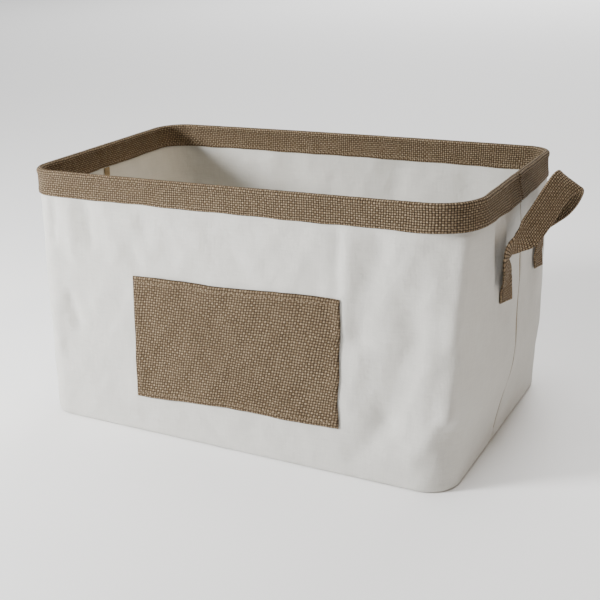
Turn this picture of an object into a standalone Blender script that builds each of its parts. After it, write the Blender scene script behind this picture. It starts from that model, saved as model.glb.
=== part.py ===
"""Fabric storage bin: canvas walls, a jute band over a wire rim, a jute patch and two strap handles.

Metres, +Z up. +X is the right end wall and -Y the front wall. The origin is the middle of the bottom.
"""

import math

import bmesh
import bpy
from mathutils import Matrix, Vector

# Driving dimensions of the canvas's outer face
HEIGHT = 0.2215
BASE_HALF = (0.1935, 0.1230)
RIM_HALF = (0.1975, 0.1100)
# Corners in the order back right, back left, front left, front right
CORNERS = ((1, 1), (-1, 1), (-1, -1), (1, -1))
BASE_RADII = (0.027, 0.025, 0.023, 0.027)
RIM_RADII = (0.020, 0.027, 0.022, 0.036)
# How far each soft corner stands off the plain rectangle
BASE_PULL = ((0, -0.001), (0, 0), (0, 0.002), (-0.001, -0.008))
RIM_PULL = ((0.002, 0.002), (0, 0.0035), (0, 0.0015), (0.0005, 0.0045))
# Height, and how far the right end wall bulges there at its middle
RIGHT_BULGE = (
    (0, 0),
    (0.015, 0.001),
    (0.045, 0.0055),
    (0.075, 0.0105),
    (0.135, 0.0085),
    (0.195, 0.0055),
    (HEIGHT, -0.0015),
)
LEFT_BULGE_SHARE = 0.25
FRONT_BOW = 0.0015
BACK_BOW = 0.0035
# The right end's seam stands a little in front of the middle, and drifts forward near the bottom
SEAM_SHARE = 0.47
SEAM_DRIFT = 0.06
SEAM_DRIFT_HEIGHT = 0.07

# Cloth, board and wire
CANVAS = 0.0012
JUTE = 0.0010
GAP = 0.0003
BOARD = 0.0020
BAND_HEIGHT = 0.022
WIRE_RADIUS = 0.0009
FERRULE_RADIUS = 0.0015
FERRULE_LENGTH = 0.022
ROLL_RADIUS = 0.0023
ROLL_CENTRE = HEIGHT - ROLL_RADIUS - JUTE / 2
BAND_LOW = HEIGHT - BAND_HEIGHT
LEGS_MEET = ROLL_CENTRE - 0.0035
BAND_MIDDLE = (BAND_LOW + LEGS_MEET) / 2
WALL_TOP = 0.2161
THREAD_RADIUS = 0.0003
STITCH_INSET = 0.003

# Patch on the front wall: x and z of its corners, from its upper left one, anticlockwise
PATCH = ((-0.0925, 0.1385), (-0.0925, 0.0330), (0.0985, 0.0385), (0.0990, 0.1425))

# Handles
STRAP_WIDTH = 0.0235
STRAP = 0.0014
TAB = 0.0018
TAB_GAP = 0.0004
TAB_LOW = 0.1300
TAB_HIGH = 0.1448
TAB_SKEW = 0.0020
TAB_MIDDLES = {"front": -0.040, "back": 0.055}
HINGE_X = 0.2062
HINGE_Z = 0.1452
LEFT_SHIFT = 0.0055
LEFT_RAISE = 0.0014
LEFT_LEAN = math.radians(36)
# The free arch of the strap: its middle line, and the way its width points there
ARCH = (
    ((0.2055, -0.0410, 0.1459), (0.00, 1.00, 0.00)),
    ((0.2060, -0.0420, 0.1502), (-0.02, 1.00, -0.03)),
    ((0.2068, -0.0470, 0.1585), (-0.12, 0.94, -0.28)),
    ((0.2073, -0.0492, 0.1665), (-0.14, 0.90, -0.42)),
    ((0.2090, -0.0460, 0.1745), (-0.04, 0.89, -0.46)),
    ((0.2129, -0.0410, 0.1782), (0.22, 0.84, -0.51)),
    ((0.2183, -0.0345, 0.1827), (0.48, 0.67, -0.57)),
    ((0.2217, -0.0245, 0.1887), (0.60, 0.56, -0.57)),
    ((0.2259, -0.0115, 0.1977), (0.62, 0.51, -0.60)),
    ((0.2294, 0.0020, 0.2067), (0.62, 0.48, -0.62)),
    ((0.2328, 0.0120, 0.2128), (0.66, 0.42, -0.60)),
    ((0.2358, 0.0215, 0.2143), (0.74, 0.24, -0.58)),
    ((0.2358, 0.0300, 0.2095), (0.82, 0.02, -0.52)),
    ((0.2318, 0.0370, 0.2000), (0.84, -0.18, -0.44)),
    ((0.2255, 0.0445, 0.1900), (0.76, -0.48, -0.36)),
    ((0.2190, 0.0495, 0.1815), (0.62, -0.74, -0.26)),
    ((0.2118, 0.0532, 0.1710), (0.36, -0.92, -0.14)),
    ((0.2068, 0.0550, 0.1585), (0.10, -1.00, -0.05)),
    ((0.2055, 0.0550, 0.1458), (0.00, -1.00, 0.00)),
)

# Mesh steps
LONG_STEPS = 8
CORNER_STEPS = 5
END_STEPS = 5
LEVELS = (0, 0.015, 0.045, 0.075, 0.135, 0.195, BAND_LOW, BAND_MIDDLE, LEGS_MEET, WALL_TOP)
SEAM_GAP = 0.0015


def mix(a, b, share):
    return a + (b - a) * share


def bulge(z):
    for (z0, b0), (z1, b1) in zip(RIGHT_BULGE, RIGHT_BULGE[1:]):
        if z <= z1:
            return mix(b0, b1, (z - z0) / (z1 - z0))
    return RIGHT_BULGE[-1][1]


def wall_point(u, z, out=0.0):
    """A point of the canvas's outer face, moved outwards by out.

    u runs from 0 to 9 round the bin, anticlockwise from above, from the seam of the right end:
    odd stretches are the corners, even ones the sides, and the first and last are half an end."""
    u = u + 9 if u < 0 else u
    share = z / HEIGHT
    half = [mix(b, r, share) for b, r in zip(BASE_HALF, RIM_HALF)]
    radii = [mix(b, r, share) for b, r in zip(BASE_RADII, RIM_RADII)]
    stretch = min(int(u), 8)
    part = u - stretch

    def arc_point(corner, angle):
        sx, sy = CORNERS[corner]
        radius = radii[corner]
        return Vector(
            (
                sx * (half[0] - radius) + radius * math.cos(angle),
                sy * (half[1] - radius) + radius * math.sin(angle),
            )
        )

    if stretch % 2:
        angle = (stretch // 2 + part) * math.pi / 2
        point = arc_point(stretch // 2, angle)
    else:
        seam = SEAM_SHARE - SEAM_DRIFT * max(0, 1 - z / SEAM_DRIFT_HEIGHT)
        if stretch == 0:
            part = mix(seam, 1, part)
        if stretch == 8:
            part = mix(0, seam, part)
        angle = stretch // 2 * math.pi / 2
        start = arc_point((stretch // 2 - 1) % 4, angle)
        point = start.lerp(arc_point(stretch // 2 % 4, angle), part)
    across, along = point.x / half[0], point.y / half[1]
    move = Vector((0, 0))
    for (sx, sy), low, high in zip(CORNERS, BASE_PULL, RIM_PULL):
        weight = (1 + sx * across) * (1 + sy * along) / 4
        move += weight * Vector(low).lerp(Vector(high), share)
    end, side = max(0, 1 - along**2), max(0, 1 - across**2)
    move.x += bulge(z) * end * (max(0, across) ** 6 - LEFT_BULGE_SHARE * max(0, -across) ** 6)
    move.y += share * side * (BACK_BOW * max(0, along) ** 6 - FRONT_BOW * max(0, -along) ** 6)
    normal = Vector((math.cos(angle), math.sin(angle)))
    flat = point + move + out * normal
    return Vector((flat.x, flat.y, z))


def steps(first, last):
    """Places u from first to last, at every step of the stretches between them."""
    counts = (END_STEPS, CORNER_STEPS, LONG_STEPS, CORNER_STEPS, 2 * END_STEPS) * 2
    inner = [
        stretch + i / counts[stretch if stretch < 5 else (8 - stretch)]
        for stretch in range(9)
        for i in range(counts[stretch if stretch < 5 else (8 - stretch)])
    ]
    return [first] + [u for u in inner if first + 1e-6 < u < last - 1e-6] + [last]


def ring():
    return [u for u in steps(0, 9)][:-1]


def place_on_front(x, z):
    """The place u of the front wall that has this x at this height."""
    low, high = wall_point(6, z).x, wall_point(7, z).x
    return 6 + (x - low) / (high - low)


def place_on_end(side, y, z):
    """The place u of an end wall that has this y at this height."""
    if side > 0:
        seam = wall_point(0, z).y
        if y >= seam:
            return (y - seam) / (wall_point(1, z).y - seam)
        low = wall_point(8, z).y
        return 8 + (y - low) / (seam - low)
    high, low = wall_point(4, z).y, wall_point(5, z).y
    return 4 + (high - y) / (high - low)


def material(name, colour, roughness=0.85, metallic=0.0):
    made = bpy.data.materials.new(name)
    made.use_nodes = True
    shader = made.node_tree.nodes["Principled BSDF"]
    shader.inputs["Base Color"].default_value = (*colour, 1)
    shader.inputs["Roughness"].default_value = roughness
    shader.inputs["Metallic"].default_value = metallic
    made.diffuse_color = (*colour, 1)
    return made


def new_object(name, data, finish):
    made = bpy.data.objects.new(name, data)
    bin_parts.objects.link(made)
    data.materials.append(finish)
    return made


def solidify(piece, thickness, side):
    shell = piece.modifiers.new("thickness", "SOLIDIFY")
    shell.thickness = thickness
    shell.offset = side
    shell.use_even_offset = True


def grid(name, rows, finish, thickness, side):
    """A sheet through rows of points, with a thickness: side -1 inwards of the rows, 0 on both sides."""
    mesh = bmesh.new()
    made = [[mesh.verts.new(p) for p in row] for row in rows]
    for low, high in zip(made, made[1:]):
        for i in range(len(low) - 1):
            mesh.faces.new((low[i], low[i + 1], high[i + 1], high[i]))
    data = bpy.data.meshes.new(name)
    mesh.to_mesh(data)
    mesh.free()
    piece = new_object(name, data, finish)
    solidify(piece, thickness, side)
    return piece


def wall_sheet(name, places, levels, out, thickness, finish):
    """Cloth that follows the wall, with its outer face at out."""
    rows = [[wall_point(u, z, out) for u in places] for z in levels]
    return grid(name, rows, finish, thickness, -1)


def closed_line(name, loop, radius, finish, resolution=0):
    """A thread or wire in a closed loop."""
    curve = bpy.data.curves.new(name, "CURVE")
    curve.dimensions = "3D"
    curve.bevel_depth = radius
    curve.bevel_resolution = resolution
    spline = curve.splines.new("POLY")
    spline.points.add(len(loop) - 1)
    for point, place in zip(spline.points, loop):
        point.co = (*place, 1)
    spline.use_cyclic_u = True
    return new_object(name, curve, finish)


def plate(name, out, low, high, finish):
    """A flat sheet with the bottom's outline, moved outwards by out, from height low to high."""
    curve = bpy.data.curves.new(name, "CURVE")
    curve.dimensions = "2D"
    curve.fill_mode = "BOTH"
    curve.extrude = (high - low) / 2
    spline = curve.splines.new("POLY")
    places = ring()
    spline.points.add(len(places) - 1)
    for point, u in zip(spline.points, places):
        x, y, _ = wall_point(u, 0, out)
        point.co = (x, y, 0, 1)
    spline.use_cyclic_u = True
    piece = new_object(name, curve, finish)
    piece.location.z = (low + high) / 2
    return piece


def walls(canvas):
    wall_sheet("back_panel", steps(SEAM_GAP, 4.5 - SEAM_GAP / 2), LEVELS, 0, CANVAS, canvas)
    wall_sheet("front_panel", steps(4.5 + SEAM_GAP / 2, 9 - SEAM_GAP), LEVELS, 0, CANVAS, canvas)


def bottom(canvas, board, tape):
    """A double canvas bottom with the board between, and tape over the seam to the walls."""
    inset = -CANVAS - GAP
    plate("base_panel", inset, 0, CANVAS, canvas)
    tape_thickness = 0.0008
    low = CANVAS + GAP
    places = ring() + [9]
    binding = wall_sheet("base_seam_binding", places, (low, 0.010), inset, tape_thickness, tape)
    close_ring(binding)
    inner = inset - tape_thickness - 2 * GAP
    plate("base_board", inner, low, low + BOARD, board)
    low += BOARD + GAP
    plate("base_lining", inner, low, low + CANVAS, canvas)


def close_ring(piece):
    """Joins the first and last column of a sheet that goes all the way round."""
    mesh = bmesh.new()
    mesh.from_mesh(piece.data)
    bmesh.ops.remove_doubles(mesh, verts=mesh.verts, dist=1e-6)
    mesh.to_mesh(piece.data)
    mesh.free()


def end_seams(tape):
    """The bound seam allowances on the inside of the end walls."""
    half_width = 0.0045
    inset = -CANVAS - GAP
    levels = [0.0115] + [z for z in LEVELS if 0.0115 < z < 0.19] + [BAND_LOW - 0.001]
    for name, side in (("right", 1), ("left", -1)):
        rows = []
        for z in levels:
            middle = wall_point(0 if side > 0 else 4.5, z).y
            ys = [middle - side * half_width, middle, middle + side * half_width]
            rows.append([wall_point(place_on_end(side, y, z), z, inset) for y in ys])
        grid(f"end_seam_binding_{name}", rows, tape, 0.0016, -1)


def band_section():
    """The jute strip's middle line over the rim: outer leg, roll and inner leg, as (out, z)."""
    outer = GAP + JUTE / 2
    inner = -CANVAS - GAP - JUTE / 2
    roll = []
    for degrees in range(-20, 201, 20):
        angle = math.radians(degrees)
        out = -CANVAS / 2 + ROLL_RADIUS * math.cos(angle)
        roll.append((out, ROLL_CENTRE + ROLL_RADIUS * math.sin(angle)))
    levels = (BAND_LOW, BAND_MIDDLE, LEGS_MEET)
    return [(outer, z) for z in levels] + roll + [(inner, z) for z in levels[::-1]]


def rim(jute, steel, thread):
    half_gap = SEAM_GAP / 2
    for name, first, last in (
        ("trim_back", SEAM_GAP, 4.5 - half_gap),
        ("trim_front", 4.5 + half_gap, 9 - SEAM_GAP),
    ):
        rows = [[wall_point(u, z, out) for u in steps(first, last)] for out, z in band_section()]
        grid(name, rows, jute, JUTE, 0)
    middle = -CANVAS / 2
    line = [wall_point(u, ROLL_CENTRE, middle) for u in ring()]
    closed_line("rim_wire", line, WIRE_RADIUS, steel, 2)
    bpy.ops.mesh.primitive_cylinder_add(
        vertices=16, radius=FERRULE_RADIUS, depth=FERRULE_LENGTH, end_fill_type="NOTHING"
    )
    ferrule = bpy.context.object
    ferrule.name = "rim_wire_ferrule"
    for holder in list(ferrule.users_collection):
        holder.objects.unlink(ferrule)
    bin_parts.objects.link(ferrule)
    ferrule.data.materials.append(steel)
    ferrule.rotation_euler.y = math.pi / 2
    ferrule.location = wall_point(2.5, ROLL_CENTRE, middle)
    solidify(ferrule, FERRULE_RADIUS - WIRE_RADIUS - GAP, -1)
    stitch_height = BAND_LOW + STITCH_INSET
    off = JUTE + GAP + THREAD_RADIUS
    for name, out in (("outer", GAP + off), ("inner", -CANVAS - GAP - off)):
        line = [wall_point(u, stitch_height, out) for u in ring()]
        closed_line(f"trim_stitching_{name}", line, THREAD_RADIUS, thread)


def patch_point(across, up, out):
    """A point over the patch: across from left to right and up from bottom to top, both 0 to 1."""
    upper_left, lower_left, lower_right, upper_right = [Vector(p) for p in PATCH]
    x, z = lower_left.lerp(lower_right, across).lerp(upper_left.lerp(upper_right, across), up)
    return wall_point(place_on_front(x, z), z, out)


def patch(jute, thread):
    columns, rows = 8, 4
    gap = 0.0004
    places = [[(i / columns, j / rows) for i in range(columns + 1)] for j in range(rows + 1)]
    points = [[patch_point(*place, gap + JUTE) for place in row] for row in places]
    grid("label_patch", points, jute, JUTE, -1)
    width = PATCH[2][0] - PATCH[1][0]
    height = PATCH[0][1] - PATCH[1][1]
    a, b = STITCH_INSET / width, STITCH_INSET / height
    around = (
        [(mix(a, 1 - a, i / columns), b) for i in range(columns)]
        + [(1 - a, mix(b, 1 - b, j / rows)) for j in range(rows)]
        + [(mix(1 - a, a, i / columns), 1 - b) for i in range(columns)]
        + [(a, mix(1 - b, b, j / rows)) for j in range(rows)]
    )
    out = gap + JUTE + GAP + THREAD_RADIUS
    loop = [patch_point(*place, out) for place in around]
    closed_line("label_patch_stitching", loop, THREAD_RADIUS, thread)


def tab_rows(side, middle, low, high, half_width, out, columns=4):
    """Rows of points over a sewn strap end, seen from outside from left to right."""
    rows = []
    for up in (0, 0.5, 1):
        row = []
        for i in range(columns + 1):
            y = middle + side * mix(-half_width, half_width, i / columns)
            z = mix(low, high, up) - TAB_SKEW * (1 - up) * (y - middle) / half_width
            row.append(wall_point(place_on_end(side, y, z), z, out))
        rows.append(row)
    return rows


def smooth_line(points, per_gap):
    """A smooth line through the points, per_gap steps between each two of them."""
    ends = [2 * points[0] - points[1]] + points + [2 * points[-1] - points[-2]]
    line = []
    for a, b, c, d in zip(ends, ends[1:], ends[2:], ends[3:]):
        for i in range(per_gap):
            t = i / per_gap
            rise = (c - a) * t + (2 * a - 5 * b + 4 * c - d) * t**2
            line.append(0.5 * (2 * b + rise + (3 * b - a - 3 * c + d) * t**3))
    return line + [points[-1]]


def arch_rows():
    """Three rows of points along the free arch: one edge of the strap, its middle and the other edge."""
    line = smooth_line([Vector(p) for p, _ in ARCH], 3)
    widths = smooth_line([Vector(w).normalized() for _, w in ARCH], 3)
    rows = [[], [], []]
    for i, (point, width) in enumerate(zip(line, widths)):
        ahead = (line[min(i + 1, len(line) - 1)] - line[max(i - 1, 0)]).normalized()
        if i in (0, len(line) - 1):
            ahead = Vector((0, 0, 1 if i == 0 else -1))
        width = (width - width.dot(ahead) * ahead).normalized() * STRAP_WIDTH / 2
        for row, share in zip(rows, (-1, 0, 1)):
            row.append(point + share * width)
    return rows


def handle(name, side, jute, thread):
    """One strap: two sewn ends, the stitching through them, and the free arch on its hinge line."""
    for end, middle in TAB_MIDDLES.items():
        rows = tab_rows(side, middle, TAB_LOW, TAB_HIGH, STRAP_WIDTH / 2, TAB_GAP + TAB)
        grid(f"handle_{name}_tab_{end}", rows, jute, TAB, -1)
        inner = tab_rows(
            side,
            middle,
            TAB_LOW + STITCH_INSET,
            TAB_HIGH - STITCH_INSET,
            STRAP_WIDTH / 2 - STITCH_INSET,
            TAB_GAP + TAB + GAP + THREAD_RADIUS,
        )
        square = inner[0] + inner[1][-1:] + inner[2][::-1] + inner[1][:1]
        closed_line(f"handle_{name}_stitching_{end}", square, THREAD_RADIUS, thread)

    hinge = Vector((HINGE_X, 0, HINGE_Z))
    rows = [[p - hinge for p in row] for row in arch_rows()]
    if side < 0:
        lean = Matrix.Rotation(LEFT_LEAN, 3, "Y")
        rows = [[lean @ p for p in row] for row in rows][::-1]
        rows = [[Vector((-p.x, p.y, p.z)) for p in row] for row in rows]
        hinge = Vector((LEFT_SHIFT - HINGE_X, 0, HINGE_Z + LEFT_RAISE))
    arch = grid(f"handle_{name}_loop", rows, jute, STRAP, 0)
    arch.location = hinge


for old in list(bpy.data.objects):
    bpy.data.objects.remove(old, do_unlink=True)
bin_parts = bpy.data.collections.new("fabric_storage_bin")
bpy.context.scene.collection.children.link(bin_parts)

canvas_cloth = material("canvas", (0.62, 0.60, 0.55))
jute_cloth = material("jute", (0.25, 0.18, 0.11))
seam_tape = material("seam_tape", (0.42, 0.34, 0.20))
sewing_thread = material("thread", (0.30, 0.23, 0.15))
grey_board = material("board", (0.30, 0.28, 0.26))
spring_steel = material("steel", (0.55, 0.55, 0.56), 0.35, 1.0)

walls(canvas_cloth)
bottom(canvas_cloth, grey_board, seam_tape)
end_seams(seam_tape)
rim(jute_cloth, spring_steel, sewing_thread)
patch(jute_cloth, sewing_thread)
handle("right", 1, jute_cloth, sewing_thread)
handle("left", -1, jute_cloth, sewing_thread)
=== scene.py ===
"""The fabric storage bin in full detail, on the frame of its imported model."""

import math

import bpy
import numpy as np
from mathutils import Matrix, Vector


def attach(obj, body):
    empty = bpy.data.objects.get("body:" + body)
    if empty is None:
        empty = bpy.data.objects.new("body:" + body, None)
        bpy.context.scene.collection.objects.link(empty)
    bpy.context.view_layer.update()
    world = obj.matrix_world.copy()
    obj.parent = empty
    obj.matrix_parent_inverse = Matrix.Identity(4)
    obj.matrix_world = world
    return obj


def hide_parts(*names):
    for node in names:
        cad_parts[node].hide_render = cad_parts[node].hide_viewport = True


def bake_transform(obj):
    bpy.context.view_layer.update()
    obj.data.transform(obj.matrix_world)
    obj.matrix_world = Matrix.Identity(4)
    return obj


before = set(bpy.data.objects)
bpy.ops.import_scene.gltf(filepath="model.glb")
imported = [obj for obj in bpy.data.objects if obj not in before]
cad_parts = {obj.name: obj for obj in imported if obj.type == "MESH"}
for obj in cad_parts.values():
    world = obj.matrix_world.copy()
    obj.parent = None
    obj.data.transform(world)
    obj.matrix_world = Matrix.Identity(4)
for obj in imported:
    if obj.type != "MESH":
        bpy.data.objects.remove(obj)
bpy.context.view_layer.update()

# ---------------------------------------------------------------- the wall's shape, as in the CAD model
HEIGHT = 0.2215
BASE_HALF = np.array((0.1935, 0.1230))
RIM_HALF = np.array((0.1975, 0.1100))
CORNERS = ((1, 1), (-1, 1), (-1, -1), (1, -1))
BASE_RADII = np.array((0.027, 0.025, 0.023, 0.027))
RIM_RADII = np.array((0.020, 0.027, 0.022, 0.036))
BASE_PULL = ((0, -0.001), (0, 0), (0, 0.002), (-0.001, -0.008))
RIM_PULL = ((0.002, 0.002), (0, 0.0035), (0, 0.0015), (0.0005, 0.0045))
BULGE_Z = (0, 0.015, 0.045, 0.075, 0.135, 0.195, HEIGHT)
BULGE_X = (0, 0.001, 0.0055, 0.0105, 0.0085, 0.0055, -0.0015)
CANVAS = 0.0012
JUTE = 0.0010
GAP = 0.0003
ROLL_RADIUS = 0.0023
ROLL_Z = HEIGHT - ROLL_RADIUS - JUTE / 2
BAND_LOW = HEIGHT - 0.022
WALL_TOP = 0.2161


def smooth(x, a, b):
    """0 before a, 1 after b, smooth between."""
    t = np.clip((x - a) / (b - a), 0, 1)
    return t * t * (3 - 2 * t)


def plain_wall(u, z, out=0.0):
    """Points of the canvas's outer face moved outwards by out. u runs 0 to 9 round the bin."""
    u, z, out = np.broadcast_arrays(*(np.asarray(v, float) for v in (u, z, out)))
    share = z / HEIGHT
    half = BASE_HALF + (RIM_HALF - BASE_HALF) * share[..., None]
    stretch = np.clip(np.floor(u), 0, 8).astype(int)
    part = u - stretch
    quarter = stretch // 2
    straight = stretch % 2 == 0
    angle = np.where(straight, quarter, quarter + part) * math.pi / 2
    seam = 0.47 - 0.06 * (1 - smooth(z, -0.035, 0.075)) * 2
    part = np.where(stretch == 0, seam + (1 - seam) * part, part)
    part = np.where(stretch == 8, seam * part, part)
    signs = np.array(CORNERS, float)

    def arc(corner):
        radius = (BASE_RADII[corner] + (RIM_RADII[corner] - BASE_RADII[corner]) * share)[..., None]
        turn = np.stack((np.cos(angle), np.sin(angle)), -1)
        return signs[corner] * (half - radius) + radius * turn

    here = arc(quarter % 4)
    before = arc((quarter - 1) % 4)
    flat = np.where(straight[..., None], before + (here - before) * part[..., None], here)
    across = flat[..., 0] / half[..., 0]
    along = flat[..., 1] / half[..., 1]
    move = np.zeros(flat.shape)
    for (sx, sy), low, high in zip(CORNERS, BASE_PULL, RIM_PULL):
        weight = (1 + sx * across) * (1 + sy * along) / 4
        pull = np.array(low) + (np.array(high) - np.array(low)) * share[..., None]
        move += weight[..., None] * pull
    end = np.clip(1 - along**2, 0, 1)
    side = np.clip(1 - across**2, 0, 1)
    bulge = np.interp(z, BULGE_Z, BULGE_X)
    for shift in (-0.008, 0.008):
        bulge = bulge + np.interp(z + shift, BULGE_Z, BULGE_X)
    bulge = bulge / 3
    move[..., 0] += bulge * end * (np.clip(across, 0, 9) ** 6 - 0.25 * np.clip(-across, 0, 9) ** 6)
    move[..., 1] += share * side * (
        0.0035 * np.clip(along, 0, 9) ** 6 - 0.0015 * np.clip(-along, 0, 9) ** 6
    )
    x = flat[..., 0] + move[..., 0] + out * np.cos(angle)
    y = flat[..., 1] + move[..., 1] + out * np.sin(angle)
    return np.stack((x, y, z), -1)


# Distances round the bin, in metres, at half height: 0 in the middle of the front, growing to the right
GIRTH_U = np.linspace(0, 9, 1801)
outline = plain_wall(GIRTH_U, HEIGHT / 2)
GIRTH = np.concatenate(([0], np.cumsum(np.linalg.norm(np.diff(outline, axis=0), axis=1))))
AROUND = GIRTH[-1]
GIRTH = GIRTH - np.interp(6.5, GIRTH_U, GIRTH)


def girth(u):
    return np.interp(u, GIRTH_U, GIRTH)


def place(g):
    return np.interp(g, GIRTH, GIRTH_U)


# Soft folds in the canvas: where they start and end (girth, height), their width and how far they stand out
FOLDS = (
    ((-0.166, 0.204), (-0.170, 0.160), 0.005, -0.0028),
    ((-0.150, 0.204), (-0.149, 0.150), 0.006, 0.0022),
    ((-0.133, 0.204), (-0.130, 0.165), 0.006, -0.0024),
    ((-0.112, 0.200), (-0.105, 0.150), 0.009, 0.0016),
    ((-0.078, 0.203), (-0.072, 0.172), 0.007, -0.0013),
    ((-0.158, 0.112), (-0.150, 0.088), 0.006, -0.0028),
    ((-0.176, 0.098), (-0.171, 0.060), 0.008, 0.0022),
    ((-0.086, 0.158), (-0.080, 0.148), 0.006, -0.0018),
    ((-0.020, 0.200), (0.010, 0.165), 0.012, -0.0012),
    ((0.101, 0.204), (0.100, 0.150), 0.005, -0.0020),
    ((0.110, 0.200), (0.107, 0.120), 0.007, 0.0018),
    ((0.135, 0.190), (0.118, 0.115), 0.010, -0.0026),
    ((0.176, 0.188), (0.158, 0.130), 0.011, -0.0030),
    ((0.197, 0.190), (0.192, 0.118), 0.007, 0.0046),
    ((0.168, 0.130), (0.142, 0.055), 0.013, -0.0036),
    ((0.196, 0.104), (0.191, 0.062), 0.008, 0.0040),
    ((0.190, 0.060), (0.164, 0.026), 0.009, 0.0034),
    ((0.140, 0.050), (0.118, 0.018), 0.010, -0.0026),
    ((0.120, 0.100), (0.112, 0.060), 0.008, 0.0020),
    ((-0.105, 0.016), (-0.010, 0.013), 0.005, -0.0012),
    ((0.243, 0.196), (0.248, 0.150), 0.005, -0.0034),
    ((0.256, 0.192), (0.257, 0.160), 0.006, 0.0020),
    ((0.330, 0.200), (0.338, 0.130), 0.012, -0.0020),
    ((0.360, 0.120), (0.372, 0.050), 0.014, 0.0022),
    ((0.470, 0.200), (0.462, 0.120), 0.012, -0.0022),
    ((0.560, 0.190), (0.575, 0.110), 0.014, 0.0022),
    ((-0.640, 0.195), (-0.630, 0.100), 0.014, 0.0018),
    ((-0.520, 0.204), (-0.516, 0.150), 0.010, -0.0018),
    ((-0.330, 0.204), (-0.325, 0.150), 0.009, -0.0020),
    ((-0.250, 0.110), (-0.262, 0.050), 0.012, 0.0020),
)
WAVES = (
    (19, 17, 0.7, 0.00030),
    (35, -26, 2.1, 0.00020),
    (-27, 49, 4.4, 0.00018),
    (56, 35, 1.2, 0.00012),
    (-73, 71, 3.3, 0.00008),
)


def relief(g, z):
    """How far the slack canvas stands out at this place."""
    total = np.zeros(np.broadcast(g, z).shape)
    for (g0, z0), (g1, z1), width, depth in FOLDS:
        line = np.array((g1 - g0, z1 - z0))
        for turn in (-AROUND, 0, AROUND):
            dg, dz = g - g0 + turn, z - z0
            t = np.clip((dg * line[0] + dz * line[1]) / (line @ line), 0, 1)
            gap = (dg - t * line[0]) ** 2 + (dz - t * line[1]) ** 2
            total = total + depth * np.exp(-gap / width**2)
    for turns, kz, start, depth in WAVES:
        total = total + depth * np.sin(turns * math.tau * g / AROUND + kz * math.pi * z + start)
    return total * smooth(z, 0.0, 0.02) * (1 - 0.88 * smooth(z, BAND_LOW - 0.010, BAND_LOW + 0.003))


def wall(u, z, out=0.0):
    g = girth(u)
    return plain_wall(u, z, out + relief(g, z))


# ---------------------------------------------------------------- mesh making
def ladder(a, b, step, edge):
    """Values from a to b about a step apart, and closer to each other at both ends."""
    count = max(2, round(abs(b - a) / step))
    inner = np.linspace(a, b, count + 1)
    low = a + (b - a) / abs(b - a) * edge * np.array((0, 0.06, 0.3, 0.65, 1))
    high = b + a - low[::-1]
    inner = inner[(np.abs(inner - a) > edge * 1.2) & (np.abs(b - inner) > edge * 1.2)]
    return np.concatenate((low, inner, high))


def rounding(x, a, b, edge):
    """1 inside, falling to 0 at both ends as a round edge does."""
    near = np.clip(np.minimum(np.abs(x - a), np.abs(b - x)) / edge, 0, 1)
    return np.sqrt(np.clip(1 - (1 - near) ** 2, 0, 1))


def keep(piece, body="bin"):
    bpy.context.scene.collection.objects.link(piece)
    if body:
        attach(piece, body)
    return piece


def mesh_piece(name, points, faces, uv, finish, slot, smooth_faces=True):
    data = bpy.data.meshes.new(name)
    data.from_pydata(points, [], faces)
    data.update()
    layer = data.uv_layers.new(name="UVMap")
    loops = np.empty(len(data.loops), np.int64)
    data.loops.foreach_get("vertex_index", loops)
    layer.data.foreach_set("uv", np.asarray(uv, float)[loops].ravel())
    data.polygons.foreach_set("use_smooth", [smooth_faces] * len(data.polygons))
    data.materials.append(finish)
    piece = bpy.data.objects.new(name, data)
    return piece


def slab(name, outer, inner, uv, finish, slot, body="bin"):
    """Cloth between two grids of points with the same edges: rows by columns by 3."""
    rows, columns = outer.shape[:2]
    count = rows * columns
    index = np.arange(count).reshape(rows, columns)
    a, b = index[:-1, :-1].ravel(), index[:-1, 1:].ravel()
    c, d = index[1:, 1:].ravel(), index[1:, :-1].ravel()
    faces = np.stack((a, b, c, d), 1).tolist()
    faces += (np.stack((d, c, b, a), 1) + count).tolist()
    border = np.concatenate((index[0, :], index[1:, -1], index[-1, -2::-1], index[-2:0:-1, 0]))
    after = np.roll(border, -1)
    faces += np.stack((border, border + count, after + count, after), 1).tolist()
    points = np.concatenate((outer.reshape(-1, 3), inner.reshape(-1, 3)))
    coords = np.concatenate((uv.reshape(-1, 2), uv.reshape(-1, 2)))
    piece = mesh_piece(name, points.tolist(), faces, coords, finish, slot)
    keep(piece, body)
    return piece


def wall_sheet(name, g0, g1, z0, z1, mid, thick, finish, slot, step=0.004, edge=0.0006, extra=None):
    """Cloth on the wall between two places and two heights."""
    close = np.array((0.0009, 0.0013, 0.0018, 0.0024, 0.0032, 0.0045))
    g = np.unique(np.concatenate((ladder(g0, g1, step, edge), g0 + close, g1 - close)))[None, :]
    z = ladder(z0, z1, step, edge)[:, None]
    body = np.minimum(rounding(g, g0, g1, edge), rounding(z, z0, z1, edge)) * thick / 2
    u = place(g)
    more = 0 if extra is None else extra(g, z)
    outer = wall(u, z, mid + more + body)
    inner = wall(u, z, mid + more - body)
    uv = np.stack(np.broadcast_arrays(g, z), -1)
    return slab(name, outer, inner, uv, finish, slot)


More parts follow.
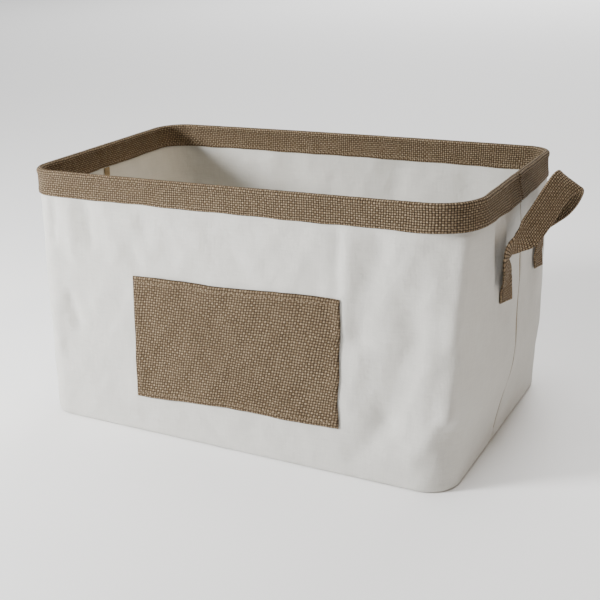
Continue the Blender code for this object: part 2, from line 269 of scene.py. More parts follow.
def stitches(name, line, normal, finish, length=0.0032, gap=0.0009, radius=0.00028):
    """A row of stitches along a line of points: each rises out of the cloth and goes back in."""
    line = np.asarray(line, float)
    run = np.concatenate(([0], np.cumsum(np.linalg.norm(np.diff(line, axis=0), axis=1))))
    count = max(1, int(run[-1] / (length + gap)))
    pitch = run[-1] / count
    sides, rings = 6, 6
    starts = (np.arange(count) + 0.5 * gap / pitch) * pitch
    t = np.linspace(0, 1, rings)
    at = starts[:, None] + t * (pitch - gap)

    def read(values):
        return np.stack([np.interp(at, run, values[:, k]) for k in range(3)], -1)

    middle = read(line)
    up = read(np.asarray(normal, float))
    up /= np.linalg.norm(up, axis=-1, keepdims=True)
    ahead = np.gradient(middle, axis=1)
    ahead /= np.linalg.norm(ahead, axis=-1, keepdims=True)
    aside = np.cross(ahead, up)
    hump = np.sin(math.pi * t)
    middle = middle + up * ((hump - 0.75) * radius * 1.5)[None, :, None]
    fat = radius * (0.35 + 0.65 * hump**0.5)
    turn = np.arange(sides) * math.tau / sides
    ring = (
        aside[:, :, None] * np.cos(turn)[None, None, :, None]
        + up[:, :, None] * np.sin(turn)[None, None, :, None]
    )
    points = middle[:, :, None] + ring * fat[None, :, None, None]
    faces, base = [], np.arange(count)[:, None] * rings * sides
    for i in range(rings - 1):
        for j in range(sides):
            k = (j + 1) % sides
            quad = np.array((i * sides + j, (i + 1) * sides + j, (i + 1) * sides + k, i * sides + k))
            faces += (base + quad).tolist()
    first = np.arange(sides)
    faces += (base + first).tolist()
    faces += (base + (rings - 1) * sides + first[::-1]).tolist()
    flat = points.reshape(-1, 3)
    along = np.repeat(np.arange(count * rings), sides) * 0.0006
    uv = np.stack((along, np.tile(turn, count * rings) * 0.0002), 1)
    piece = mesh_piece(name, flat.tolist(), faces, uv, finish, "thread")
    keep(piece)
    return piece


# ---------------------------------------------------------------- materials
class Nodes:
    """Small helper that adds shader nodes and joins them."""

    def __init__(self, name):
        self.material = bpy.data.materials.new(name)
        self.material.use_nodes = True
        self.tree = self.material.node_tree
        self.shader = self.tree.nodes["Principled BSDF"]

    def add(self, kind, inputs=(), **settings):
        node = self.tree.nodes.new(kind)
        for key, value in settings.items():
            setattr(node, key, value)
        for key, value in dict(inputs).items():
            if isinstance(value, bpy.types.NodeSocket):
                self.tree.links.new(value, node.inputs[key])
            else:
                node.inputs[key].default_value = value
        return node

    def math(self, operation, a, b=None, c=None):
        values = {i: v for i, v in enumerate((a, b, c)) if v is not None}
        return self.add("ShaderNodeMath", values, operation=operation).outputs[0]

    def mix(self, share, a, b, blend="MIX"):
        node = self.add("ShaderNodeMix", data_type="RGBA", blend_type=blend)
        for key, value in ((0, share), (6, a), (7, b)):
            if isinstance(value, bpy.types.NodeSocket):
                self.tree.links.new(value, node.inputs[key])
            else:
                node.inputs[key].default_value = value
        return node.outputs[2]

    def noise(self, vector, scale, detail=2.0, rough=0.5):
        inputs = {"Vector": vector, "Scale": scale, "Detail": detail, "Roughness": rough}
        return self.add("ShaderNodeTexNoise", inputs).outputs["Fac"]

    def spread(self, value, low, high, out_low=0.0, out_high=1.0):
        inputs = {0: value, 1: low, 2: high, 3: out_low, 4: out_high}
        return self.add("ShaderNodeMapRange", inputs).outputs[0]

    def end(self, colour, height, distance, roughness=0.9, strength=1.0, sheen=0.0):
        bump = self.add("ShaderNodeBump", {"Strength": strength, "Distance": distance, "Height": height})
        self.tree.links.new(bump.outputs[0], self.shader.inputs["Normal"])
        self.tree.links.new(colour, self.shader.inputs["Base Color"])
        self.shader.inputs["Roughness"].default_value = roughness
        self.shader.inputs["Specular IOR Level"].default_value = 0.25
        self.shader.inputs["Sheen Weight"].default_value = sheen
        self.shader.inputs["Sheen Roughness"].default_value = 0.6
        return self.material


# The weft yarns lie a little closer together than the warp yarns
WEFT_SHARE = 0.93


def woven(name, pitch, yarn, gap_shade_colour, pale, depth, wobble):
    """Plain weave at true scale: pitch is the distance between warp yarns in metres. The dark colour in the
    gaps between the yarns is painted shade.
    """
    n = Nodes(name)
    base = n.add("ShaderNodeTexCoord").outputs["UV"]
    stray = n.add("ShaderNodeTexNoise", {"Vector": base, "Scale": 0.11 / pitch, "Detail": 2.0})
    halves = {0: stray.outputs["Color"], 1: (0.5, 0.5, 0.5)}
    centred = n.add("ShaderNodeVectorMath", halves, operation="SUBTRACT")
    moved = n.add(
        "ShaderNodeVectorMath",
        {0: centred.outputs[0], 1: (wobble * pitch,) * 3, 2: base},
        operation="MULTIPLY_ADD",
    )
    scale = (1 / pitch, 1 / (pitch * WEFT_SHARE), 1 / pitch)
    grid = n.add("ShaderNodeVectorMath", {0: moved.outputs[0], 1: scale}, operation="MULTIPLY")
    parts = n.add("ShaderNodeSeparateXYZ", {0: grid.outputs[0]})
    x, y = parts.outputs[0], parts.outputs[1]
    sx = n.math("SINE", n.math("MULTIPLY", x, math.pi))
    sy = n.math("SINE", n.math("MULTIPLY", y, math.pi))
    both = n.math("MULTIPLY", sx, sy)
    crown = n.math("POWER", n.math("ABSOLUTE", both), 0.6)
    warp_up = n.spread(both, -0.25, 0.25)
    column = n.math("FLOOR", x)
    row = n.math("FLOOR", y)

    def yarn_noise(index, run, seed):
        inputs = {0: n.math("MULTIPLY", index, 7.31), 1: n.math("MULTIPLY", run, 0.16), 2: seed}
        along = n.add("ShaderNodeCombineXYZ", inputs)
        return n.noise(along.outputs[0], 1.0, 3.0, 0.65)

    warp = n.spread(yarn_noise(column, y, 3.0), 0.25, 0.75, -0.30, 0.75)
    weft = n.spread(yarn_noise(row, x, 11.0), 0.25, 0.75, 0.25, 1.30)
    tone = n.math("ADD", n.math("MULTIPLY", warp_up, n.math("SUBTRACT", warp, weft)), weft)
    fibre = n.noise(moved.outputs[0], 2.2 / pitch, 3.0, 0.7)
    blotch = n.noise(base, 0.035 / pitch, 2.0)
    lit = n.mix(tone, yarn, pale)
    lit = n.mix(n.spread(fibre, 0.35, 0.7, 0.0, 0.35), lit, gap_shade_colour)
    lit = n.mix(n.spread(blotch, 0.35, 0.65, 0.0, 0.25), lit, yarn)
    # painted shade: where the yarn crowns fall away into the gaps, the colour turns to the dark gap colour
    cover = n.spread(crown, 0.22, 0.92)
    colour = n.mix(cover, gap_shade_colour, lit)
    height = n.math("MULTIPLY", crown, n.spread(tone, -0.3, 1.3, 0.7, 1.15))
    height = n.math("ADD", height, n.math("MULTIPLY", fibre, 0.25))
    return n.end(colour, height, depth, 0.92)


def canvas_material(name, tint, coords="UV"):
    n = Nodes(name)
    base = n.add("ShaderNodeTexCoord").outputs[coords]
    pitch = 0.0009
    grid = n.add("ShaderNodeVectorMath", {0: base, 1: (1 / pitch,) * 3}, operation="MULTIPLY")
    parts = n.add("ShaderNodeSeparateXYZ", {0: grid.outputs[0]})
    sx = n.math("SINE", n.math("MULTIPLY", parts.outputs[0], math.pi))
    sy = n.math("SINE", n.math("MULTIPLY", parts.outputs[1], math.pi))
    crown = n.math("POWER", n.math("ABSOLUTE", n.math("MULTIPLY", sx, sy)), 0.5)
    streak_across = n.add("ShaderNodeVectorMath", {0: base, 1: (700, 60, 1)}, operation="MULTIPLY")
    streak_up = n.add("ShaderNodeVectorMath", {0: base, 1: (60, 700, 1)}, operation="MULTIPLY")
    slubs = n.math(
        "ADD",
        n.noise(streak_across.outputs[0], 1.0, 2.0),
        n.noise(streak_up.outputs[0], 1.0, 2.0),
    )
    cloud = n.noise(base, 26.0, 3.0)
    tone_and_gap_shade = n.math("ADD", n.spread(slubs, 0.7, 1.3, 0.0, 0.45), n.spread(cloud, 0.3, 0.7, 0.0, 0.35))
    # painted shade: the canvas darkens a little where its thread crowns fall away into the gaps; the slubs
    # and cloud above are the cloth's own tone
    tone_and_gap_shade = n.math("ADD", tone_and_gap_shade, n.spread(crown, 0.0, 0.8, 0.2, 0.0))
    dark = tuple(c * 0.86 for c in tint)
    colour = n.mix(tone_and_gap_shade, (*tint, 1), (*dark, 1))
    fine = n.math("ADD", n.math("MULTIPLY", crown, 0.6), n.math("MULTIPLY", slubs, 0.7))
    crumple = n.noise(base, 90.0, 4.0, 0.6)
    slack = n.noise(base, 34.0, 2.0, 0.4)
    height = n.math("ADD", fine, n.math("MULTIPLY", crumple, 5.0))
    height = n.math("ADD", height, n.math("MULTIPLY", slack, 14.0))
    return n.end(colour, height, 0.00022, 0.88, 0.8, 0.05)


# the dark gap colours below are painted shade for the gaps between the yarns
JUTE_YARN = (0.192, 0.135, 0.079, 1)
JUTE_PALE = (0.440, 0.340, 0.222, 1)
JUTE_GAP_SHADE = (0.022, 0.012, 0.005, 1)
canvas = canvas_material("canvas_cloth", (0.655, 0.645, 0.606))
canvas_flat = canvas_material("canvas_bottom", (0.640, 0.625, 0.580), "Object")
PATCH_YARN = (0.155, 0.108, 0.062, 1)
PATCH_PALE = (0.385, 0.295, 0.190, 1)
PATCH_GAP_SHADE = (0.034, 0.020, 0.010, 1)
STRAP_YARN = (0.235, 0.162, 0.095, 1)
STRAP_PALE = (0.520, 0.395, 0.255, 1)
STRAP_GAP_SHADE = (0.028, 0.016, 0.007, 1)
TAPE_YARN = (0.34, 0.26, 0.15, 1)
TAPE_PALE = (0.46, 0.37, 0.23, 1)
TAPE_GAP_SHADE = (0.17, 0.12, 0.06, 1)
THREAD_YARN = (0.34, 0.26, 0.17, 1)
THREAD_PALE = (0.50, 0.40, 0.28, 1)
THREAD_GAP_SHADE = (0.12, 0.08, 0.05, 1)
jute = woven("jute_cloth", 0.0024, PATCH_YARN, PATCH_GAP_SHADE, PATCH_PALE, 0.0007, 0.90)
jute_band = woven("jute_band_cloth", 0.0020, JUTE_YARN, JUTE_GAP_SHADE, JUTE_PALE, 0.0009, 0.85)
jute_strap = woven("jute_webbing", 0.0020, STRAP_YARN, STRAP_GAP_SHADE, STRAP_PALE, 0.0008, 0.60)
tape = woven("seam_tape_cloth", 0.0008, TAPE_YARN, TAPE_GAP_SHADE, TAPE_PALE, 0.0002, 0.4)
thread = woven("thread_twist", 0.0005, THREAD_YARN, THREAD_GAP_SHADE, THREAD_PALE, 0.0001, 0.3)


def board_material():
    n = Nodes("grey_board")
    base = n.add("ShaderNodeTexCoord").outputs["Object"]
    fibre = n.noise(base, 900.0, 4.0, 0.7)
    colour = n.mix(fibre, (0.26, 0.24, 0.21, 1), (0.40, 0.37, 0.33, 1))
    return n.end(colour, fibre, 0.0001, 0.95)


def steel_material():
    n = Nodes("drawn_steel")
    base = n.add("ShaderNodeTexCoord").outputs["Object"]
    drawn = n.noise(base, 2500.0, 2.0)
    colour = n.mix(drawn, (0.42, 0.42, 0.43, 1), (0.60, 0.60, 0.61, 1))
    n.shader.inputs["Metallic"].default_value = 1.0
    return n.end(colour, drawn, 0.00002, 0.35)


# ---------------------------------------------------------------- canvas walls
SEAM_BACK = girth(4.5)
SEAM_START, SEAM_END = girth(0.0), girth(9.0)


def seam_distance(g):
    return np.minimum.reduce([np.abs(g - s) for s in (SEAM_BACK, SEAM_START, SEAM_END)])


def turned_in(g, z):
    """The cloth bends inwards at its seams and at the bottom."""
    near = seam_distance(g)
    low = np.clip(1 - z / 0.0025, 0, 1)
    under_band = 1 - 0.9 * smooth(z, BAND_LOW - 0.003, BAND_LOW + 0.001)
    return -0.0016 * np.exp(-((near / 0.0016) ** 2)) * under_band - 0.0014 * low**2.2


for name, g0, g1, node in (
    ("canvas_front", SEAM_BACK + 0.0008, SEAM_END - 0.0008, "front_panel"),
    ("canvas_back", SEAM_START + 0.0008, SEAM_BACK - 0.0008, "back_panel"),
):
    piece = wall_sheet(
        name, g0, g1, 0.0, WALL_TOP, -CANVAS / 2, CANVAS, canvas, "canvas", 0.0032, 0.0006, turned_in
    )
    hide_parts(node)

# ---------------------------------------------------------------- seam bindings inside
half_width = 0.0038
BINDING_LOW, BINDING_HIGH = 0.0115, BAND_LOW - 0.0002
BINDING_EDGE = 0.0008
for name in ("left", "right"):
    z = ladder(BINDING_LOW, BINDING_HIGH, 0.004, BINDING_EDGE)[:, None]
    s = ladder(-half_width, half_width, 0.0015, BINDING_EDGE)
    s = np.unique(np.concatenate((s, np.arange(-4, 5) * 0.0003)))[None, :]
    round_z = rounding(z, BINDING_LOW, BINDING_HIGH, BINDING_EDGE)
    round_s = rounding(s, -half_width, half_width, BINDING_EDGE)
    thick = 0.0014 * np.minimum(round_z, round_s) / 2
    s_all = np.broadcast_to(s, (len(z), s.shape[1]))
    if name == "left":
        u = place(SEAM_BACK + s_all)
    else:
        u = np.where(s_all >= 0, place(SEAM_START + s_all), place(SEAM_END + s_all))
    mid = -CANVAS - GAP - 0.0009 - 0.0003 * np.cos(s_all / half_width * math.pi / 2)
    # its middle stands up between the two panels and shows outside as a narrow line
    rib = 0.0017 * np.exp(-((s_all / 0.0006) ** 2))
    outer, inner = wall(u, z, mid + thick + rib), wall(u, z, mid - thick)
    uv = np.stack(np.broadcast_arrays(s_all, z), -1)
    piece = slab(f"end_binding_{name}", outer, inner, uv, tape, "seam_tape")
    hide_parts(f"end_seam_binding_{name}")

# ---------------------------------------------------------------- jute band over the rim
OUT_LEG = GAP + JUTE / 2
IN_LEG = -CANVAS - GAP - JUTE / 2
angles = np.radians(np.linspace(-20, 200, 23))
ROLL = np.stack((-CANVAS / 2 + ROLL_RADIUS * np.cos(angles), ROLL_Z + ROLL_RADIUS * np.sin(angles)), 1)
LEGS_MEET = ROLL_Z - 0.0035
SECTION = np.concatenate(
    (
        [(OUT_LEG, BAND_LOW), (OUT_LEG, LEGS_MEET)],
        ROLL,
        [(IN_LEG, LEGS_MEET), (IN_LEG, BAND_LOW)],
    )
)
SECTION_RUN = np.concatenate(([0], np.cumsum(np.linalg.norm(np.diff(SECTION, axis=0), axis=1))))


def band(name, g0, g1, node):
    length = SECTION_RUN[-1]
    s = ladder(0, length, 0.0011, 0.0006)[:, None]
    g = ladder(g0, g1, 0.0030, 0.0006)
    ends = np.concatenate((g0 + np.linspace(0.001, 0.009, 9), g1 - np.linspace(0.001, 0.009, 9)))
    inside = np.abs(g - (g0 + g1) / 2) < (g1 - g0) / 2 - 0.0105
    kept = g[(g < g0 + 0.0007) | (g > g1 - 0.0007) | inside]
    g = np.unique(np.concatenate((kept, ends)))[None, :]
    soft = np.interp(s, SECTION_RUN, SECTION[:, 0]), np.interp(s, SECTION_RUN, SECTION[:, 1])
    d_out = np.gradient(soft[0][:, 0], s[:, 0])[:, None]
    d_z = np.gradient(soft[1][:, 0], s[:, 0])[:, None]
    size = np.hypot(d_out, d_z)
    n_out, n_z = d_z / size, -d_out / size
    thick = JUTE / 2 * np.minimum(rounding(s, 0, length, 0.0006), rounding(g, g0, g1, 0.0006))
    # the folded-under hem makes each leg a little fuller at its edge, and the edge isn't quite straight
    hem = np.exp(-(((s - 0.003) / 0.003) ** 2)) + np.exp(-(((length - s - 0.003) / 0.003) ** 2))
    uneven = 0.00022 * np.sin(g * 61 + 0.4) + 0.00018 * np.sin(g * 173 + 1.9)
    ripple = 0.00016 * np.sin(g * 97 + s * 190) + 0.00012 * np.sin(g * 211 - s * 260 + 2.0)
    low = 1 - smooth(soft[1], BAND_LOW, BAND_LOW + 0.012)
    z = soft[1] + uneven * low
    seam = seam_distance(g)
    dip = 0.0010 * np.exp(-((seam / 0.0013) ** 2)) - 0.0004 * np.exp(-(((seam - 0.004) / 0.0025) ** 2))
    out = soft[0] + np.where(soft[0] > -0.0006, ripple * 0.6 - dip, -0.6 * ripple + 0.15 * dip)
    u = place(g)
    outer = wall(u, z + n_z * thick, out + n_out * (thick + 0.00022 * hem))
    inner = wall(u, z - n_z * thick, out - n_out * thick)
    uv = np.stack(np.broadcast_arrays(g, s), -1)
    piece = slab(name, outer, inner, uv, jute_band, "jute")
    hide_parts(node)
    return piece


band("jute_band_front", SEAM_BACK + 0.0001, SEAM_END - 0.0001, "trim_front")
band("jute_band_back", SEAM_START + 0.0001, SEAM_BACK - 0.0001, "trim_back")


def face_normal(u, z):
    step = 1e-3
    a = wall(u + step, z) - wall(u - step, z)
    b = wall(u, z + step) - wall(u, z - step)
    n = np.cross(a, b)
    return n / np.linalg.norm(n, axis=-1, keepdims=True)


u_ring = np.linspace(0.004, 8.996, 1400)
for name, out, sign in (("outer", GAP + JUTE, 1), ("inner", -CANVAS - GAP - JUTE, -1)):
    z_line = np.full(u_ring.shape, BAND_LOW + 0.0030)
    line = wall(u_ring, z_line, out + sign * 0.0002)
    piece = stitches(f"band_stitches_{name}", line, sign * face_normal(u_ring, z_line), thread)
    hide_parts(f"trim_stitching_{name}")

# ---------------------------------------------------------------- jute patch
PATCH = np.array(((-0.0925, 0.1385), (-0.0925, 0.0330), (0.0985, 0.0385), (0.0990, 0.1425)))
PATCH_WIDTH, PATCH_HEIGHT = 0.191, 0.105
PATCH_LIFT = 0.0004
PATCH_HEM = 0.0007


def patch_place(a, b):
    low = PATCH[1] + (PATCH[2] - PATCH[1]) * a[..., None]
    high = PATCH[0] + (PATCH[3] - PATCH[0]) * a[..., None]
    at = low + (high - low) * b[..., None]
    x, z = at[..., 0], at[..., 1]
    z = z + 0.0007 * np.sin(a * 9.0 + 0.5) * (2 * b - 1) + 0.0010 * np.sin(a * math.pi) * (1 - b)
    x = x + 0.0006 * np.sin(b * 17 + 1.0) * smooth(a, 0.9, 1.0)
    left, right = plain_wall(6.0, z)[..., 0], plain_wall(7.0, z)[..., 0]
    return 6 + (x - left) / (right - left), z


a = ladder(0, PATCH_WIDTH, 0.0030, 0.0009)[None, :] / PATCH_WIDTH
b = ladder(0, PATCH_HEIGHT, 0.0030, 0.0009)[:, None] / PATCH_HEIGHT
a, b = np.broadcast_arrays(a, b)
u, z = patch_place(a, b)
edge_x = np.minimum(a, 1 - a) * PATCH_WIDTH
edge_z = np.minimum(b, 1 - b) * PATCH_HEIGHT
edge = np.minimum(edge_x, edge_z)
rim_round = np.sqrt(np.clip(1 - (1 - np.clip(edge / 0.0009, 0, 1)) ** 2, 0, 1))
# the folded hem is two layers thick, and the cloth between lies a little lower
thick = (JUTE + PATCH_HEM * (1 - smooth(edge, 0.007, 0.010))) * rim_round
outer = wall(u, z, PATCH_LIFT + thick)
inner = wall(u, z, np.full(thick.shape, PATCH_LIFT))
uv = np.stack((a * PATCH_WIDTH - 0.18 * b * PATCH_HEIGHT, b * PATCH_HEIGHT), -1)
piece = slab("jute_patch", outer, inner, uv, jute, "jute")
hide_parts("label_patch")

inset_a, inset_b = 0.0045 / PATCH_WIDTH, 0.0045 / PATCH_HEIGHT
across = inset_a + (1 - 2 * inset_a) * np.linspace(0, 1, 90)
up_side = inset_b + (1 - 2 * inset_b) * np.linspace(0, 1, 60)
loop_a = np.concatenate((across, np.full(60, 1 - inset_a), 1 - across, np.full(60, inset_a)))
loop_b = np.concatenate((np.full(90, inset_b), up_side, np.full(90, 1 - inset_b), 1 - up_side))
u_line, z_line = patch_place(loop_a, loop_b)
line = wall(u_line, z_line, PATCH_LIFT + JUTE + PATCH_HEM + 0.0001)
piece = stitches("patch_stitches", line, face_normal(u_line, z_line), thread)
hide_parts("label_patch_stitching")

# ---------------------------------------------------------------- bottom
def plate(name, out, low, high, finish, node):
    curve = bpy.data.curves.new(name, "CURVE")
    curve.dimensions = "2D"
    curve.fill_mode = "BOTH"
    bevel = (high - low) * 0.35
    curve.extrude = (high - low) / 2 - bevel
    curve.bevel_depth = bevel
    curve.bevel_resolution = 2
    spline = curve.splines.new("POLY")
    places = np.linspace(0, 9, 241)[:-1]
    line = plain_wall(places, 0.0, out - bevel)
    spline.points.add(len(line) - 1)
    for point, (x, y, _) in zip(spline.points, line):
        point.co = (x, y, 0, 1)
    spline.use_cyclic_u = True
    curve.materials.append(finish)
    piece = bpy.data.objects.new(name, curve)
    piece.location.z = (low + high) / 2
    keep(piece)
    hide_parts(node)
    return piece


plate("canvas_bottom", -CANVAS - GAP, 0.0, CANVAS, canvas_flat, "base_panel")
plate("canvas_lining", -CANVAS - GAP - 0.0014, 0.0038, 0.0050, canvas_flat, "base_lining")

z = ladder(0.0016, 0.0100, 0.0014, 0.0004)[:, None]
g = np.linspace(SEAM_START, SEAM_END, 380)[None, :]
thick = 0.0008 * rounding(z, 0.0016, 0.0100, 0.0004) / 2 + 0 * g
mid = -CANVAS - GAP - 0.0005 + 0 * g
u = place(g)
outer, inner = plain_wall(u, z, mid + thick), plain_wall(u, z, mid - thick)
uv = np.stack(np.broadcast_arrays(g, z), -1)
piece = slab("bottom_binding", outer, inner, uv, tape, "seam_tape")
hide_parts("base_seam_binding")

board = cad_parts["base_board"]
board.data.materials.clear()
board.data.materials.append(board_material())
steel = steel_material()
for node in ("rim_wire", "rim_wire_ferrule"):
    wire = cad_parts[node]
    wire.data.materials.clear()
    wire.data.materials.append(steel)

# ---------------------------------------------------------------- handles
STRAP_WIDTH = 0.0235
STRAP = 0.0015
HINGE_X, HINGE_Z = 0.2062, 0.1452
LEFT_SHIFT = 0.0055
LEFT_RAISE = 0.0014
TAB_SKEW = 0.0020
LEFT_LEAN = math.radians(36)
TABS = {"front": -0.040, "back": 0.055}
TAB_LOW, TAB_HIGH = 0.1300, 0.1448
ARCH = (
    ((0.2055, -0.0410, 0.1459), (0.00, 1.00, 0.00)),
    ((0.2060, -0.0420, 0.1502), (-0.02, 1.00, -0.03)),
    ((0.2068, -0.0470, 0.1585), (-0.12, 0.94, -0.28)),
    ((0.2073, -0.0492, 0.1665), (-0.14, 0.90, -0.42)),
    ((0.2090, -0.0460, 0.1745), (-0.04, 0.89, -0.46)),
    ((0.2129, -0.0410, 0.1782), (0.22, 0.84, -0.51)),
    ((0.2183, -0.0345, 0.1827), (0.48, 0.67, -0.57)),
    ((0.2217, -0.0245, 0.1887), (0.60, 0.56, -0.57)),
    ((0.2259, -0.0115, 0.1977), (0.62, 0.51, -0.60)),
    ((0.2294, 0.0020, 0.2067), (0.62, 0.48, -0.62)),
    ((0.2328, 0.0120, 0.2128), (0.66, 0.42, -0.60)),
    ((0.2358, 0.0215, 0.2143), (0.74, 0.24, -0.58)),
    ((0.2358, 0.0300, 0.2095), (0.82, 0.02, -0.52)),
    ((0.2318, 0.0370, 0.2000), (0.84, -0.18, -0.44)),
    ((0.2255, 0.0445, 0.1900), (0.76, -0.48, -0.36)),
    ((0.2190, 0.0495, 0.1815), (0.62, -0.74, -0.26)),
    ((0.2118, 0.0532, 0.1710), (0.36, -0.92, -0.14)),
    ((0.2068, 0.0550, 0.1585), (0.10, -1.00, -0.05)),
    ((0.2055, 0.0550, 0.1458), (0.00, -1.00, 0.00)),
)


def smooth_line(points, per_gap):
    points = np.asarray(points, float)
    ends = np.concatenate(([2 * points[0] - points[1]], points, [2 * points[-1] - points[-2]]))
    t = (np.arange(per_gap) / per_gap)[:, None]
    parts = []
    for a, b, c, d in zip(ends, ends[1:], ends[2:], ends[3:]):
        parts.append(
            0.5 * (2 * b + (c - a) * t + (2 * a - 5 * b + 4 * c - d) * t**2 + (3 * b - a - 3 * c + d) * t**3)
        )
    return np.concatenate(parts + [points[-1:]])


def end_wall_x(side, y, z):
    """The canvas's x on an end wall at this y and height."""
    if side > 0:
        places = np.concatenate((np.linspace(7.6, 9, 60), np.linspace(0, 1.4, 60)))
    else:
        places = np.linspace(3.6, 5.4, 120)
    line = wall(places, np.full(places.shape, z))
    order = np.argsort(line[:, 1])
    return float(np.interp(y, line[order, 1], line[order, 0]))


def handle(name, side):
    """One strap from tab to tab: middle line, width direction and face direction at each step."""
    lean = np.array(Matrix.Rotation(LEFT_LEAN if side < 0 else 0, 3, "Y"))
    hinge = np.array((HINGE_X, 0, HINGE_Z))
    centre, width = [], []
    feet = []
    for middle in TABS.values():
        rows = []
        for z in (TAB_LOW, 0.1345, 0.1390, 0.1430):
            x = end_wall_x(side, middle, z) * side + 0.0004 + STRAP / 2 + 0.0002
            rows.append((x, middle, z))
        feet.append(rows)
    shift = 0.0 if side > 0 else LEFT_SHIFT
    rise = 0.0 if side > 0 else LEFT_RAISE
    for row in feet[0]:
        centre.append(row)
        width.append((0.07, 1.0, -0.04))
    for point, direction in ARCH:
        moved = lean @ (np.array(point) - hinge) + hinge - (shift, 0, -rise)
        centre.append(tuple(moved))
        width.append(tuple(lean @ np.array(direction)))
    for row in feet[1][::-1]:
        centre.append(row)
        width.append((0.0, -1.0, 0.0))
    line = smooth_line(centre, 7)
    wide = smooth_line(np.array([np.array(w) / np.linalg.norm(w) for w in width]), 7)
    ahead = np.gradient(line, axis=0)
    ahead /= np.linalg.norm(ahead, axis=1, keepdims=True)
    wide = wide - (wide * ahead).sum(1, keepdims=True) * ahead
    wide /= np.linalg.norm(wide, axis=1, keepdims=True)
    face = np.cross(wide, ahead)
    run = np.concatenate(([0], np.cumsum(np.linalg.norm(np.diff(line, axis=0), axis=1))))
    s = ladder(0, run[-1], 0.0022, 0.0008)
    at = [np.stack([np.interp(s, run, v[:, k]) for k in range(3)], 1) for v in (line, wide, face)]
    w = ladder(-STRAP_WIDTH / 2, STRAP_WIDTH / 2, 0.0018, 0.0007)
    body = np.minimum(
        rounding(s, 0, run[-1], 0.0008)[:, None],
        rounding(w, -STRAP_WIDTH / 2, STRAP_WIDTH / 2, 0.0007)[None, :],
    ) * STRAP / 2
    free = smooth(s, 0.016, 0.03) * smooth(run[-1] - s, 0.016, 0.03)
    cup = (0.0010 * free)[:, None] * (1 - (2 * w / STRAP_WIDTH) ** 2)[None, :]
    seam = 0.00035 * np.exp(-(((np.abs(w) - STRAP_WIDTH / 2 + 0.0022) / 0.0010) ** 2))[None, :]
    # the sewn ends are pressed a little wider than the free strap
    flare = 1 + 0.10 * (2 - smooth(s, 0.0, 0.016) - smooth(run[-1] - s, 0.0, 0.016))[:, None]
    middle = at[0][:, None] + at[1][:, None] * (w[None, :] * flare)[..., None]
    middle = middle + at[2][:, None] * cup[..., None]
    # the sewn ends are cut a little askew
    low = 1 - smooth(s, 0.0, 0.014)[:, None], 1 - smooth(run[-1] - s, 0.0, 0.014)[:, None]
    askew = TAB_SKEW * (w / (STRAP_WIDTH / 2))[None, :] * (low[1] - low[0])
    middle = middle + np.array((0, 0, 1.0)) * askew[..., None]
    outer = middle + at[2][:, None] * (body + seam * (body > 0))[..., None]
    inner = middle - at[2][:, None] * body[..., None]
    uv = np.stack(np.broadcast_arrays(w[None, :], s[:, None]), -1)
    if side < 0:
        outer, inner = outer * (-1, 1, 1), inner * (-1, 1, 1)
        outer, inner, uv = outer[::-1], inner[::-1], uv[::-1]
    piece = slab(f"jute_handle_{name}", outer, inner, uv, jute_strap, "jute", None)
    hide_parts(f"handle_{name}_loop", f"handle_{name}_tab_front", f"handle_{name}_tab_back")
    x = side * (HINGE_X - shift)
    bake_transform(piece)
    half_w, low, high = STRAP_WIDTH / 2 - 0.003, TAB_LOW + 0.0025, TAB_HIGH - 0.0030
    for end, middle_y in TABS.items():
        corners = ((-half_w, low), (half_w, low), (half_w, high), (-half_w, high), (-half_w, low))
        pts, nrm = [], []
        for (y0, z0), (y1, z1) in zip(corners, corners[1:]):
            for k in range(8):
                y, zz = middle_y + y0 + (y1 - y0) * k / 8, z0 + (z1 - z0) * k / 8
                out = abs(end_wall_x(side, middle_y, zz)) + 0.0004 + STRAP + 0.0004
                pts.append((side * out, y, zz))
                nrm.append((side, 0, 0))
        piece = stitches(f"handle_{name}_stitches_{end}", pts, nrm, thread, 0.0026, 0.0007)
        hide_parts(f"handle_{name}_stitching_{end}")


handle("right", 1)
handle("left", -1)

# ---------------------------------------------------------------- camera, floor and light
camera_data = bpy.data.cameras.new("camera")
camera = bpy.data.objects.new("camera", camera_data)
bpy.context.scene.collection.objects.link(camera)
camera_data.sensor_width = 36
camera_data.lens = 65.42
yaw, pitch, roll = math.radians(27.18), math.radians(19.44), math.radians(-1.93)
forward = Vector((-math.sin(yaw) * math.cos(pitch), math.cos(yaw) * math.cos(pitch), -math.sin(pitch)))
right = Vector((math.cos(yaw), math.sin(yaw), 0))
up = right.cross(forward)
turned_right = right * math.cos(roll) + up * math.sin(roll)
turned_up = -right * math.sin(roll) + up * math.cos(roll)
camera.matrix_world = Matrix.Translation((0.4278, -0.8238, 0.4188)) @ Matrix(
    (turned_right, turned_up, -forward)
).transposed().to_4x4()
bpy.context.scene.camera = camera


def plain_material(name, colour, roughness):
    n = Nodes(name)
    n.shader.inputs["Base Color"].default_value = (*colour, 1)
    n.shader.inputs["Roughness"].default_value = roughness
    n.shader.inputs["Specular IOR Level"].default_value = 0.1
    return n.material


bpy.ops.mesh.primitive_plane_add(size=30, location=(0, 0, -0.0004))
floor = bpy.context.object
floor.name = "floor"
floor.data.materials.append(plain_material("floor_paper", (0.96, 0.96, 0.96), 0.9))

world = bpy.data.worlds.new("studio")
bpy.context.scene.world = world
world.use_nodes = True
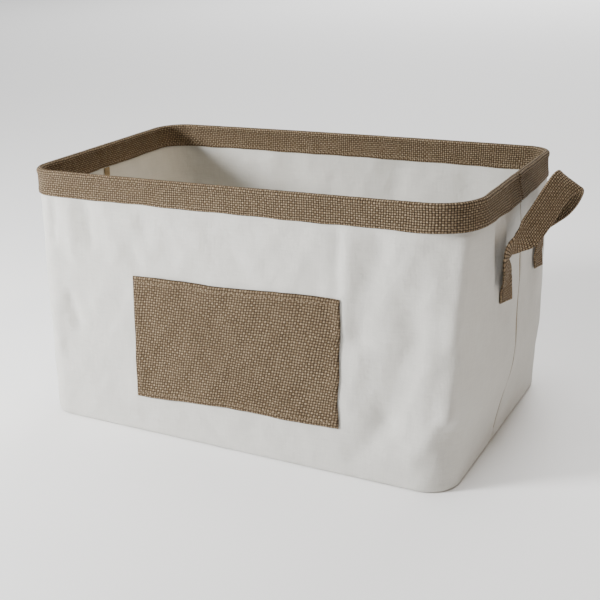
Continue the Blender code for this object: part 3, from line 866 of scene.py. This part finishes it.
# pale at the horizon and dark overhead
sky_tree = world.node_tree
direction = sky_tree.nodes.new("ShaderNodeTexCoord")
parts = sky_tree.nodes.new("ShaderNodeSeparateXYZ")
rise = sky_tree.nodes.new("ShaderNodeMapRange")
rise.inputs[1].default_value = 0.06
rise.inputs[2].default_value = 0.30
tones = sky_tree.nodes.new("ShaderNodeMix")
tones.data_type = "RGBA"
tones.inputs[6].default_value = (0.60, 0.60, 0.59, 1)
tones.inputs[7].default_value = (0.05, 0.05, 0.048, 1)
sky_tree.links.new(direction.outputs["Generated"], parts.inputs[0])
sky_tree.links.new(parts.outputs[2], rise.inputs[0])
sky_tree.links.new(rise.outputs[0], tones.inputs[0])
sky_tree.links.new(tones.outputs[2], sky_tree.nodes["Background"].inputs[0])
sky_tree.nodes["Background"].inputs[1].default_value = 1.0


def add_light(name, kind, place_at, target, power, colour):
    data = bpy.data.lights.new(name, kind)
    data.energy = power
    data.color = colour
    lamp = bpy.data.objects.new(name, data)
    bpy.context.scene.collection.objects.link(lamp)
    lamp.location = place_at
    lamp.rotation_euler = (Vector(target) - Vector(place_at)).to_track_quat("-Z", "Y").to_euler()
    return data


def area_light(name, place_at, target, size, power, colour):
    data = add_light(name, "AREA", place_at, target, power, colour)
    data.shape = "DISK"
    data.size = size


area_light("key", (-1.02, -0.92, 0.66), (-0.05, 0, 0.1), 0.4, 43, (1.0, 1.0, 0.995))
area_light("top", (0.2, 0.5, 2.4), (0, 0.2, 0), 2.0, 22, (1.0, 0.98, 0.95))
area_light("fill", (2.0, -0.5, 0.9), (0.1, 0, 0.1), 1.2, 5.0, (1.0, 0.68, 0.38))
area_light("backdrop", (-0.6, 5.4, 3.2), (-0.3, 3.8, 0), 4.0, 300, (1.0, 1.0, 1.0))

ceiling = add_light("ceiling", "SUN", (0, 0, 0), (0, 0, -1), 1.3, (1.0, 1.0, 1.0))
ceiling.angle = math.radians(25)

# a narrow warm light that reaches over the rim to the inside of the left end
snoot = add_light("snoot", "SPOT", (0.9, -0.15, 1.25), (-0.19, 0.02, 0.12), 42, (1.0, 0.82, 0.56))
snoot.spot_size = math.radians(15)
snoot.spot_blend = 1.0
snoot.shadow_soft_size = 0.12
